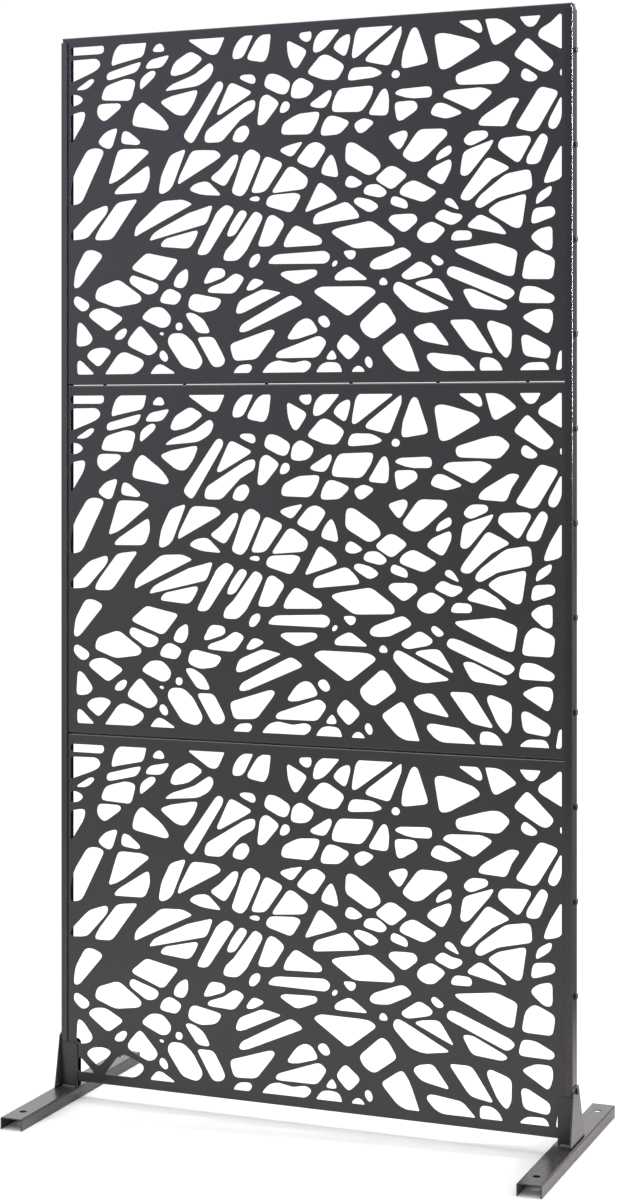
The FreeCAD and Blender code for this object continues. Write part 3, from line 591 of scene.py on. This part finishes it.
# Dust lies in patches on what faces up, by the height (Z) of its normal.
PATCH = (38.0, 5.0)
PATCH_BAND = (0.35, 0.75)
PATCH_LEAST = 0.35
FACING_UP = (0.55, 1.0)
DUST_TONE = (0.24, 0.235, 0.228)

# Painted shade: a dark band along the base of a plate that stands on the foot, and the coat's specular level
# above it.
PAINTED_SHADE_TONE = (0.003, 0.003, 0.003)
PAINTED_SHADE_RISE = 2.0 * MM
PAINTED_SHADE_FADE = 1.2 * MM
COAT_SPECULAR = 0.5

# Black oxide: one noise for its wear, which also makes it rougher, and one for its grain.
OXIDE_DARK = (0.022, 0.022, 0.024)
OXIDE_WORN = (0.070, 0.068, 0.066)
OXIDE_METAL = 0.55
WEAR = (420.0, 5.0)
WEAR_BAND = (0.45, 0.75)
WEAR_ROUGH_BAND = (0.3, 0.7)
WEAR_ROUGHNESS = (0.34, 0.50)
GRAIN = (3800.0, 2.0)
GRAIN_STRENGTH = 0.5
GRAIN_DEPTH = 0.01 * MM


def coated_metal(name, tones, rough, peel, dust, sand=0.35, painted_shade=None):
    """Powder coat: a fine peel, uneven gloss and tone, dust on what faces up, and painted shade below a
    height.
    """
    material, tree, shader, place = new_material(name)
    dark, light = tones

    def coat_noise(scale, detail):
        return noise(tree, place, scale, detail, NOISE_ROUGHNESS)

    tone = mix(tree, ramp(tree, coat_noise(*CLOUD), *CLOUD_BAND), dark, light)
    fleck = ramp(tree, coat_noise(*FLECK), *FLECK_BAND, 0.0, sand)
    tone = mix(tree, fleck, tone, tuple(min(1.0, FLECK_GAIN * c) for c in light))
    normal = node(tree, "ShaderNodeNewGeometry").outputs["Normal"]
    up = ramp(tree, split(tree, normal)["Z"], *FACING_UP, 0.0, dust)
    patch = ramp(tree, coat_noise(*PATCH), *PATCH_BAND, PATCH_LEAST, 1.0)
    tone = mix(tree, maths(tree, "MULTIPLY", up, patch), tone, DUST_TONE)
    if painted_shade:
        # Below the given height the coat is painted dark and its specular fades out: painted shade along the
        # plate's base.
        clear = ramp(tree, split(tree, place)["Z"], painted_shade, painted_shade + PAINTED_SHADE_FADE)
        tone = mix(tree, clear, PAINTED_SHADE_TONE, tone)
        specular = ramp(tree, clear, 0.0, 1.0, 0.0, COAT_SPECULAR)
        tree.links.new(specular, shader.inputs["Specular IOR Level"])
    tree.links.new(tone, shader.inputs["Base Color"])

    gloss = ramp(tree, coat_noise(*GLOSS), *GLOSS_BAND, rough - GLOSS_SWING, rough + GLOSS_SWING)
    tree.links.new(gloss, shader.inputs["Roughness"])
    fine = bump(tree, coat_noise(*PEEL_FINE), peel, PEEL_FINE_DEPTH)
    wide = bump(tree, coat_noise(*PEEL_WIDE), peel, PEEL_WIDE_DEPTH)
    tree.links.new(fine.outputs["Normal"], wide.inputs["Normal"])
    tree.links.new(wide.outputs["Normal"], shader.inputs["Normal"])
    return material


def blackened_steel(name):
    """Black oxide on a bolt, worn brighter in small patches."""
    material, tree, shader, place = new_material(name)
    worn = noise(tree, place, *WEAR)
    tone = mix(tree, ramp(tree, worn, *WEAR_BAND), OXIDE_DARK, OXIDE_WORN)
    tree.links.new(tone, shader.inputs["Base Color"])
    rough = ramp(tree, worn, *WEAR_ROUGH_BAND, *WEAR_ROUGHNESS)
    tree.links.new(rough, shader.inputs["Roughness"])
    shader.inputs["Metallic"].default_value = OXIDE_METAL
    grain = bump(tree, noise(tree, place, *GRAIN), GRAIN_STRENGTH, GRAIN_DEPTH)
    tree.links.new(grain.outputs["Normal"], shader.inputs["Normal"])
    return material


PANEL_TONES = (0.0120, 0.0120, 0.0132), (0.0146, 0.0146, 0.0158)
POST_TONES = (0.0115, 0.0115, 0.0128), (0.0140, 0.0140, 0.0154)
# The feet's coat, also used for the gussets, is painted lighter than the panels' and posts': painted light
# on the feet.
FOOT_PAINTED_LIGHT_TONES = (0.0200, 0.0197, 0.0202), (0.0260, 0.0254, 0.0256)
CHEEK_TONES = (0.0110, 0.0110, 0.0118), (0.0140, 0.0140, 0.0148)
WELD_TONES = (0.0090, 0.0090, 0.0096), (0.0150, 0.0150, 0.0156)
# The gusset's painted shade reaches this far above its base.
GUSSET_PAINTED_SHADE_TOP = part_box("right_gusset_plate")[0].z + PAINTED_SHADE_RISE

PANEL_COAT = coated_metal("panel_coat", PANEL_TONES, rough=0.30, peel=0.8, dust=0.05)
POST_COAT = coated_metal("post_coat", POST_TONES, rough=0.17, peel=0.15, dust=0.05)
FOOT_COAT = coated_metal("foot_coat", FOOT_PAINTED_LIGHT_TONES, rough=0.27, peel=0.4, dust=0.02, sand=0.8)
GUSSET_COAT = coated_metal(
    "gusset_coat", FOOT_PAINTED_LIGHT_TONES, rough=0.27, peel=1.0, dust=0.06, sand=0.8, painted_shade=GUSSET_PAINTED_SHADE_TOP
)
CHEEK_COAT = coated_metal("cheek_coat", CHEEK_TONES, rough=0.34, peel=1.0, dust=0.06)
WELD_COAT = coated_metal("weld_coat", WELD_TONES, rough=0.55, peel=1.0, dust=0.0)
FASTENER = blackened_steel("fastener_black")


# Panels


def opening_outlines(name):
    """The outlines of a panel's openings, from the front face of its CAD node."""
    mesh = nodes[name].data
    front = min(v.co.y for v in mesh.vertices)
    follows = {}
    for polygon in mesh.polygons:
        corners = [mesh.vertices[i].co for i in polygon.vertices]
        if max(c.y for c in corners) - front > FLAT:
            continue
        keys = [(round(c.x, KEY_DIGITS), round(c.z, KEY_DIGITS)) for c in corners]
        for a, b in zip(keys, keys[1:] + keys[:1]):
            follows.setdefault(a, set()).add(b)
    border = {}
    for a, ends in follows.items():
        for b in ends:
            if a not in follows.get(b, ()):
                border[a] = b
    loops = []
    while border:
        key = next(iter(border))
        loop = []
        while key in border:
            loop.append(Vector(key))
            key = border.pop(key)
        loops.append(counter_clockwise(loop))
    loops.sort(key=lambda loop: max(p.x for p in loop) - min(p.x for p in loop))
    return loops[:-1]


def stepped(loop, step):
    """The loop with points at even steps along its sides."""
    points = []
    for a, b in zip(loop, loop[1:] + loop[:1]):
        count = math.ceil((b - a).length / step)
        points += [a.lerp(b, k / count) for k in range(count)]
    return points


def eased(loop, freedom):
    """The loop smoothed into a pebble. freedom(point) is 0 where a point stays and 1 where it moves."""
    points = stepped(loop, EASE_STEP)
    free = [freedom(p) for p in points]
    first = area(points)
    for _ in range(EASE_ROUNDS):
        beside = zip(points[-1:] + points[:-1], points, points[1:] + points[:1], free)
        points = [p + (a + b - 2 * p) * (EASE_PULL * f) for a, p, b, f in beside]
    length = sum((b - a).length for a, b in zip(points, points[1:] + points[:1]))
    swell = EASE_REGAIN * (first - area(points)) / length
    beside = zip(points[-1:] + points[:-1], points, points[1:] + points[:1], free)
    return [p - left_of((b - a).normalized()) * (swell * f) for a, p, b, f in beside]


def thinned(loop):
    """The points where the loop has turned enough since the last one kept."""
    kept = []
    heading = loop[0] - loop[-1]
    for a, b in zip(loop, loop[1:] + loop[:1]):
        if heading.angle(b - a) > ARC_STEP:
            kept.append(a)
            heading = b - a
    return kept


def softened(loops):
    """Openings with the curved sides of a pebble pattern; on its border they stay straight and crisp."""
    xs = [p.x for loop in loops for p in loop]
    ys = [p.y for loop in loops for p in loop]
    min_x, max_x, min_y, max_y = min(xs), max(xs), min(ys), max(ys)

    def freedom(point):
        gap = min(point.x - min_x, max_x - point.x, point.y - min_y, max_y - point.y)
        return min(1.0, max(0.0, gap - BORDER_SLACK) / BORDER_HOLD)

    def radius_of(corner, turn):
        return 0.0 if freedom(corner) else BORDER_RADIUS * max(1.0, SHARP_TURN / turn) ** SHARP_POWER

    return [thinned(eased(round_corners(loop, radius_of), freedom)) for loop in loops]


def pattern_of(name):
    """A panel's openings, measured from its lower left corner."""
    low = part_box(name)[0]
    return [[p - Vector((low.x, low.z)) for p in loop] for loop in softened(opening_outlines(name))]


PATTERN = pattern_of("lower_panel")


def build_panel(name):
    """A tray: its perforated face, the long flanges at top and bottom, and the flanges at its sides."""
    low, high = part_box(name)
    bm = bmesh.new()
    edge = PANEL_BEND + LEAD
    reach = high.y - low.y
    middle = BOLT_LINE - low.y
    outline = rectangle(low.x + edge, low.z + edge, high.x - edge, high.z - edge)
    openings = [[p + Vector((low.x, low.z)) for p in loop] for loop in PATTERN]
    every_side = (0, 1, 2, 3)

    def front(u, v, depth):
        return Vector((u, low.y + depth, v))

    add_plate(bm, outline, openings, front, PANEL_SHEET, joined=every_side)
    pitch = (high.x - low.x) / JOINT_BOLTS
    holes = [circle(low.x + (k + 0.5) * pitch, middle, HOLE_RADIUS) for k in range(JOINT_BOLTS)]
    ends = low.x + FLANGE_INSET, high.x - FLANGE_INSET
    for z, way in ((low.z, 1.0), (high.z, -1.0)):

        def long_flange(along, inward, depth):
            return Vector((along, low.y + depth, z + way * inward))

        add_flange(bm, long_flange, *ends, reach, PANEL_BEND, PANEL_SHEET, holes)
    pitch = PANEL_PITCH / SIDE_BOLTS
    holes = [circle(low.z + (k + 0.5) * pitch, middle, HOLE_RADIUS) for k in range(SIDE_BOLTS)]
    ends = low.z + edge, high.z - edge
    for x, way in ((low.x, 1.0), (high.x, -1.0)):

        def side_flange(along, inward, depth):
            return Vector((x + way * inward, low.y + depth, along))

        add_flange(bm, side_flange, *ends, reach, PANEL_BEND, PANEL_SHEET, holes)
    piece(bm, name + "_sheet", PANEL_COAT, "powder_coat", name)


# Posts and feet


def bolt_heights():
    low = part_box("lower_panel")[0]
    pitch = PANEL_PITCH / SIDE_BOLTS
    return [low.z + (k + 0.5) * pitch for k in range(SIDE_BOLTS * len(LEVELS))]


def build_post(side):
    """A channel: its web with the bolt holes, a wide lip in front and a narrow one behind."""
    name = side + "_post"
    low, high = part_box(name)
    way = -SIDES[side]
    outer = low.x if way > 0 else high.x
    bm = bmesh.new()
    edge = POST_BEND + LEAD
    outline = [
        Vector((BOLT_LINE - TONGUE_HALF, low.z)),
        Vector((BOLT_LINE + TONGUE_HALF, low.z)),
        Vector((BOLT_LINE + TONGUE_HALF, LIP_NOTCH)),
        Vector((high.y - edge, LIP_NOTCH)),
        Vector((high.y - edge, high.z)),
        Vector((low.y + edge, high.z)),
        Vector((low.y + edge, LIP_NOTCH)),
        Vector((BOLT_LINE - TONGUE_HALF, LIP_NOTCH)),
    ]
    folded_sides = (3, 5)
    holes = [circle(BOLT_LINE, z, HOLE_RADIUS) for z in bolt_heights()]

    def web(u, v, depth):
        return Vector((outer + way * depth, u, v))

    add_plate(bm, outline, holes, web, POST_SHEET, joined=folded_sides)
    spring = LIP_SPRING[side]
    for y, toward, reach in ((low.y, 1.0, high.x - low.x), (high.y, -1.0, REAR_LIP)):

        def lip(along, inward, depth):
            lean = spring * max(0.0, depth - POST_BEND)
            return Vector((outer + way * depth, y + toward * (inward - lean), along))

        add_flange(bm, lip, LIP_NOTCH, high.z, reach, POST_BEND, POST_SHEET)
    piece(bm, name + "_channel", POST_COAT, "powder_coat", name)


def build_foot(side):
    """A channel with its open side down: the top with its anchor holes, and two walls."""
    name = side + "_foot_channel"
    low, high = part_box(name)
    bm = bmesh.new()
    edge = FOOT_BEND + LEAD
    outline = rectangle(low.x + edge, low.y, high.x - edge, high.y)
    middle = (low.x + high.x) / 2
    holes = [circle(middle, y, ANCHOR_RADIUS) for y in (low.y + ANCHOR_INSET, high.y - ANCHOR_INSET)]
    long_sides = (1, 3)

    def top(u, v, depth):
        return Vector((u, v, high.z - depth))

    add_plate(bm, outline, holes, top, FOOT_SHEET, joined=long_sides)
    for x, way in ((low.x, 1.0), (high.x, -1.0)):

        def wall(along, inward, depth):
            return Vector((x + way * inward, along, high.z - depth))

        add_flange(bm, wall, low.y, high.y, high.z - low.z, FOOT_BEND, FOOT_SHEET)
    piece(bm, name + "_folded", FOOT_COAT, "powder_coat", name)


def build_gusset(side):
    """A plate whose base is centred on the foot and whose top is centred on the post."""
    name = side + "_gusset_plate"
    low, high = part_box(name)
    bm = bmesh.new()
    corners = [
        Vector((low.y, low.z)),
        Vector((high.y, low.z)),
        Vector((BOLT_LINE + GUSSET_TOP_HALF, high.z)),
        Vector((BOLT_LINE - GUSSET_TOP_HALF, high.z)),
    ]

    def radius_of(corner, turn):
        return PLATE_CORNER if corner.y > low.z + PLATE_CORNER else PLATE_EASE

    def upright(u, v, depth):
        return Vector((low.x + depth, u, v))

    outline = round_corners(corners, radius_of)
    holes = [circle(BOLT_LINE, bolt_heights()[0], HOLE_RADIUS)]
    add_plate(bm, outline, holes, upright, high.x - low.x, GUSSET_RIM)
    piece(bm, name + "_cut", GUSSET_COAT, "powder_coat", name)


def build_cheek(side, end):
    """A plate whose upper corner toward the panel is well rounded."""
    name = f"{side}_{end}_cheek"
    low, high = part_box(name)
    inner = high.x if side == "left" else low.x
    bm = bmesh.new()

    def radius_of(corner, turn):
        top = corner.y > low.z + PLATE_CORNER and abs(corner.x - inner) < SAME_PLACE
        return PLATE_CORNER if top else PLATE_EASE

    def upright(u, v, depth):
        return Vector((u, low.y + depth, v))

    outline = round_corners(rectangle(low.x, low.z, high.x, high.z), radius_of)
    add_plate(bm, outline, (), upright, high.y - low.y, CHEEK_RIM)
    piece(bm, name + "_cut", CHEEK_COAT, "powder_coat", name)


def build_welds(side):
    """A bead and its spatter along the base of both cheeks of a foot."""
    bm = bmesh.new()
    for end, way in (("front", -1.0), ("rear", 1.0)):
        low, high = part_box(f"{side}_{end}_cheek")
        y = low.y if way < 0 else high.y
        base = Vector((low.x + BEAD_INSET, y, low.z))
        out = Vector((0, way, 0))
        run = high.x - low.x - 2 * BEAD_INSET
        add_bead(bm, base, out, run)
        add_spatter(bm, base, out, run)
    name = side + "_foot_welds"
    piece(bm, name + "_beads", WELD_COAT, "powder_coat", name)


# Fasteners


def add_bolt(bm, base, axis, grip):
    """A bolt whose head sits on base, toward the axis, and whose shank goes the other way."""
    add_hexagon(bm, base, axis, HEAD_RISE)
    add_thread(bm, base, -axis, grip + NUT_RISE + BOLT_END)


def fasteners(bolt_name, nut_name, places, axis, grip):
    """One group of bolts and the group of nuts on their other side."""
    bolts, nuts = bmesh.new(), bmesh.new()
    for base in places:
        add_bolt(bolts, base, axis, grip)
        add_hexagon(nuts, base - axis * grip, -axis, NUT_RISE, BOLT_RADIUS)
    piece(bolts, bolt_name + "_turned", FASTENER, "dark_fasteners", bolt_name)
    piece(nuts, nut_name + "_turned", FASTENER, "dark_fasteners", nut_name)


def build_fasteners():
    """The side bolts, of which the lowest also holds the gusset, and the bolts of both joints."""
    heights = bolt_heights()
    panel_low, panel_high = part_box("lower_panel")
    inside = panel_high.x - PANEL_SHEET
    for side, sign in SIDES.items():
        axis = Vector((sign, 0, 0))
        web = max(abs(corner.x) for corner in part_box(side + "_post"))
        plate = max(abs(corner.x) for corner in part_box(side + "_gusset_plate"))
        base = Vector((sign * plate, BOLT_LINE, heights[0]))
        fasteners(side + "_bracket_bolt", side + "_bracket_nut", [base], axis, plate - inside)
        for number, level in enumerate(LEVELS):
            rows = heights[number * SIDE_BOLTS : (number + 1) * SIDE_BOLTS]
            places = [Vector((sign * web, BOLT_LINE, z)) for z in rows if z != heights[0]]
            fasteners(f"{side}_{level}_bolts", f"{side}_{level}_nuts", places, axis, web - inside)
    pitch = (panel_high.x - panel_low.x) / JOINT_BOLTS
    for below, above in zip(LEVELS, LEVELS[1:]):
        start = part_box(below + "_panel")[1].z - PANEL_SHEET
        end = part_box(above + "_panel")[0].z + PANEL_SHEET
        columns = [panel_low.x + (k + 0.5) * pitch for k in range(JOINT_BOLTS)]
        places = [Vector((x, BOLT_LINE, start)) for x in columns]
        fasteners(f"{above}_joint_bolts", f"{above}_joint_nuts", places, -UP, end - start)


for level in LEVELS:
    build_panel(level + "_panel")
for side in SIDES:
    build_post(side)
    build_foot(side)
    build_gusset(side)
    build_cheek(side, "front")
    build_cheek(side, "rear")
    build_welds(side)
build_fasteners()


# Stage, light and camera

# Brightness of the room in reflections, by degrees round from straight in front toward the screen's right.
ROOM = (
    (-180, 0.20),
    (-150, 0.25),
    (-120, 0.45),
    (-70, 0.85),
    (-36, 0.96),
    (-28, 0.80),
    (-20, 0.54),
    (-13, 0.29),
    (-6, 0.16),
    (10, 0.13),
    (40, 0.20),
    (90, 0.25),
    (140, 0.10),
    (168, 0.07),
    (180, 0.20),
)

# Strength of the room, of the white that the camera sees, and of the even light on the floor.
ROOM_STRENGTH = 1.95
EYE_STRENGTH = 1.05
EVEN_STRENGTH = 1.18

# The room's tint, and the bands of the direction's height (Z) or depth (Y) over which each change is made.
WARM = (1.0, 0.96, 0.93)
COOL = (0.88, 0.91, 1.14)
WHITE = (1.0, 1.0, 1.0)
TINT_BAND = (-0.20, 0.15)
PLAIN_BAND = (0.3, 0.5)
HORIZON_BAND = (-0.08, 0.06)
HORIZON_LEAST = 0.72
REAR_BAND = (0.2, 0.6)
REAR_GLOW_BAND = (0.16, 0.25)
REAR_GLOW = 0.6
CEILING_BAND = (0.55, 0.85)
CEILING_GLOW = 3.2

# Painted light and shade on the floor as reflections see it, by its place in front of the screen or behind
# it.
FLOOR_PAINTED_LIGHT = (
    (-3.0, (0.66, 0.61, 0.585)),
    (-0.9, (1.0, 0.90, 0.855)),
    (-0.2, (1.0, 0.93, 0.90)),
    (0.3, (0.76, 0.71, 0.685)),
    (0.95, (0.12, 0.116, 0.114)),
)
FLOOR_PAINTED_LIGHT_RANGE = (-3.0, 1.0)

# The floor's edges, and its own colours with the noise that blends them.
FLOOR_REACH = 14.0
FLOOR_FRONT = -3.5
FLOOR_TONES = ((0.92, 0.92, 0.92), (0.95, 0.95, 0.95))
FLOOR_GRAIN = (9.0, 3.0)
FLOOR_ROUGHNESS = 0.9
FLOOR_SPECULAR = 0.1


def studio_floor():
    mesh = bpy.data.meshes.new("floor")
    corners = rectangle(-FLOOR_REACH, FLOOR_FRONT, FLOOR_REACH, FLOOR_REACH)
    mesh.from_pydata([(p.x, p.y, 0) for p in corners], [], [(0, 1, 2, 3)])
    floor = bpy.data.objects.new("floor", mesh)
    bpy.context.scene.collection.objects.link(floor)
    material, tree, shader, place = new_material("studio_floor")
    tone = mix(tree, noise(tree, place, *FLOOR_GRAIN), *FLOOR_TONES)
    # Glossy rays see the floor in painted light and shade, bright and warm in front and dark behind; other
    # rays see its own tone.
    painted_light = gradient(tree, split(tree, place)["Y"], *FLOOR_PAINTED_LIGHT_RANGE, FLOOR_PAINTED_LIGHT)
    glossy = node(tree, "ShaderNodeLightPath").outputs["Is Glossy Ray"]
    tree.links.new(mix(tree, glossy, tone, painted_light), shader.inputs["Base Color"])
    shader.inputs["Roughness"].default_value = FLOOR_ROUGHNESS
    shader.inputs["Specular IOR Level"].default_value = FLOOR_SPECULAR
    mesh.materials.append(material)


def studio_sky():
    """White to the eye and even on the floor; in reflections a room, dim in front and bright at the left."""
    world = bpy.data.worlds.new("studio")
    bpy.context.scene.world = world
    world.use_nodes = True
    tree = world.node_tree
    tree.nodes.clear()
    way = split(tree, node(tree, "ShaderNodeTexCoord").outputs["Generated"])
    turn = maths(tree, "ARCTAN2", way["X"], maths(tree, "MULTIPLY", way["Y"], -1.0))
    stops = [(math.radians(degrees), (level,) * 3) for degrees, level in ROOM]
    around = gradient(tree, turn, -math.pi, math.pi, stops)
    rear = ramp(tree, way["Y"], *REAR_BAND)
    tint = mix(tree, ramp(tree, way["Z"], *TINT_BAND), WARM, COOL)
    tint = mix(tree, rear, tint, WHITE)
    tint = mix(tree, ramp(tree, way["Z"], *PLAIN_BAND), tint, WHITE)
    horizon = ramp(tree, way["Z"], *HORIZON_BAND, HORIZON_LEAST, 1.0)
    ceiling = ramp(tree, way["Z"], *CEILING_BAND, 0.0, CEILING_GLOW)
    rear_glow = ramp(tree, way["Z"], *REAR_GLOW_BAND, 0.0, REAR_GLOW)
    level = maths(tree, "MULTIPLY_ADD", around, horizon, ceiling)
    level = maths(tree, "MULTIPLY_ADD", rear_glow, rear, level)
    colour = mix(tree, 1.0, level, tint, "MULTIPLY")

    def background(strength, colour):
        made = node(tree, "ShaderNodeBackground", Strength=strength)
        feed(tree, made.inputs["Color"], colour)
        return made.outputs["Background"]

    path = node(tree, "ShaderNodeLightPath").outputs
    room, even = background(ROOM_STRENGTH, colour), background(EVEN_STRENGTH, WHITE)
    unseen = choose(tree, path["Is Glossy Ray"], even, room)
    shown = choose(tree, path["Is Camera Ray"], unseen, background(EYE_STRENGTH, WHITE))
    tree.links.new(shown, node(tree, "ShaderNodeOutputWorld").inputs["Surface"])


def softbox(name, place, target, width, height, power, spread=180):
    data = bpy.data.lights.new(name, "AREA")
    data.shape = "RECTANGLE"
    data.size, data.size_y = width, height
    data.energy = power
    data.spread = math.radians(spread)
    lamp = bpy.data.objects.new(name, data)
    bpy.context.scene.collection.objects.link(lamp)
    lamp.location = place
    lamp.rotation_euler = (Vector(target) - Vector(place)).to_track_quat("-Z", "Y").to_euler()


def camera():
    data = bpy.data.cameras.new("camera")
    data.sensor_width = 36.0
    data.lens = 68.634
    data.shift_x = 0.0001
    data.shift_y = -0.1425
    view = bpy.data.objects.new("camera", data)
    bpy.context.scene.collection.objects.link(view)
    view.location = (1.4159, -3.5292, 1.1537)
    view.rotation_euler = (math.radians(90), 0, math.radians(21.908))
    bpy.context.scene.camera = view


studio_floor()
studio_sky()
softbox("side_strip", (4.1, 0.55, 2.15), (0.45, 0, 1.9), width=0.22, height=2.0, power=62.0, spread=50)
softbox("overhead", (0.0, 0.5, 4.2), (0.0, 0.2, 0.0), width=3.0, height=3.0, power=40.0)
camera()

bpy.context.scene.view_settings.view_transform = "Standard"
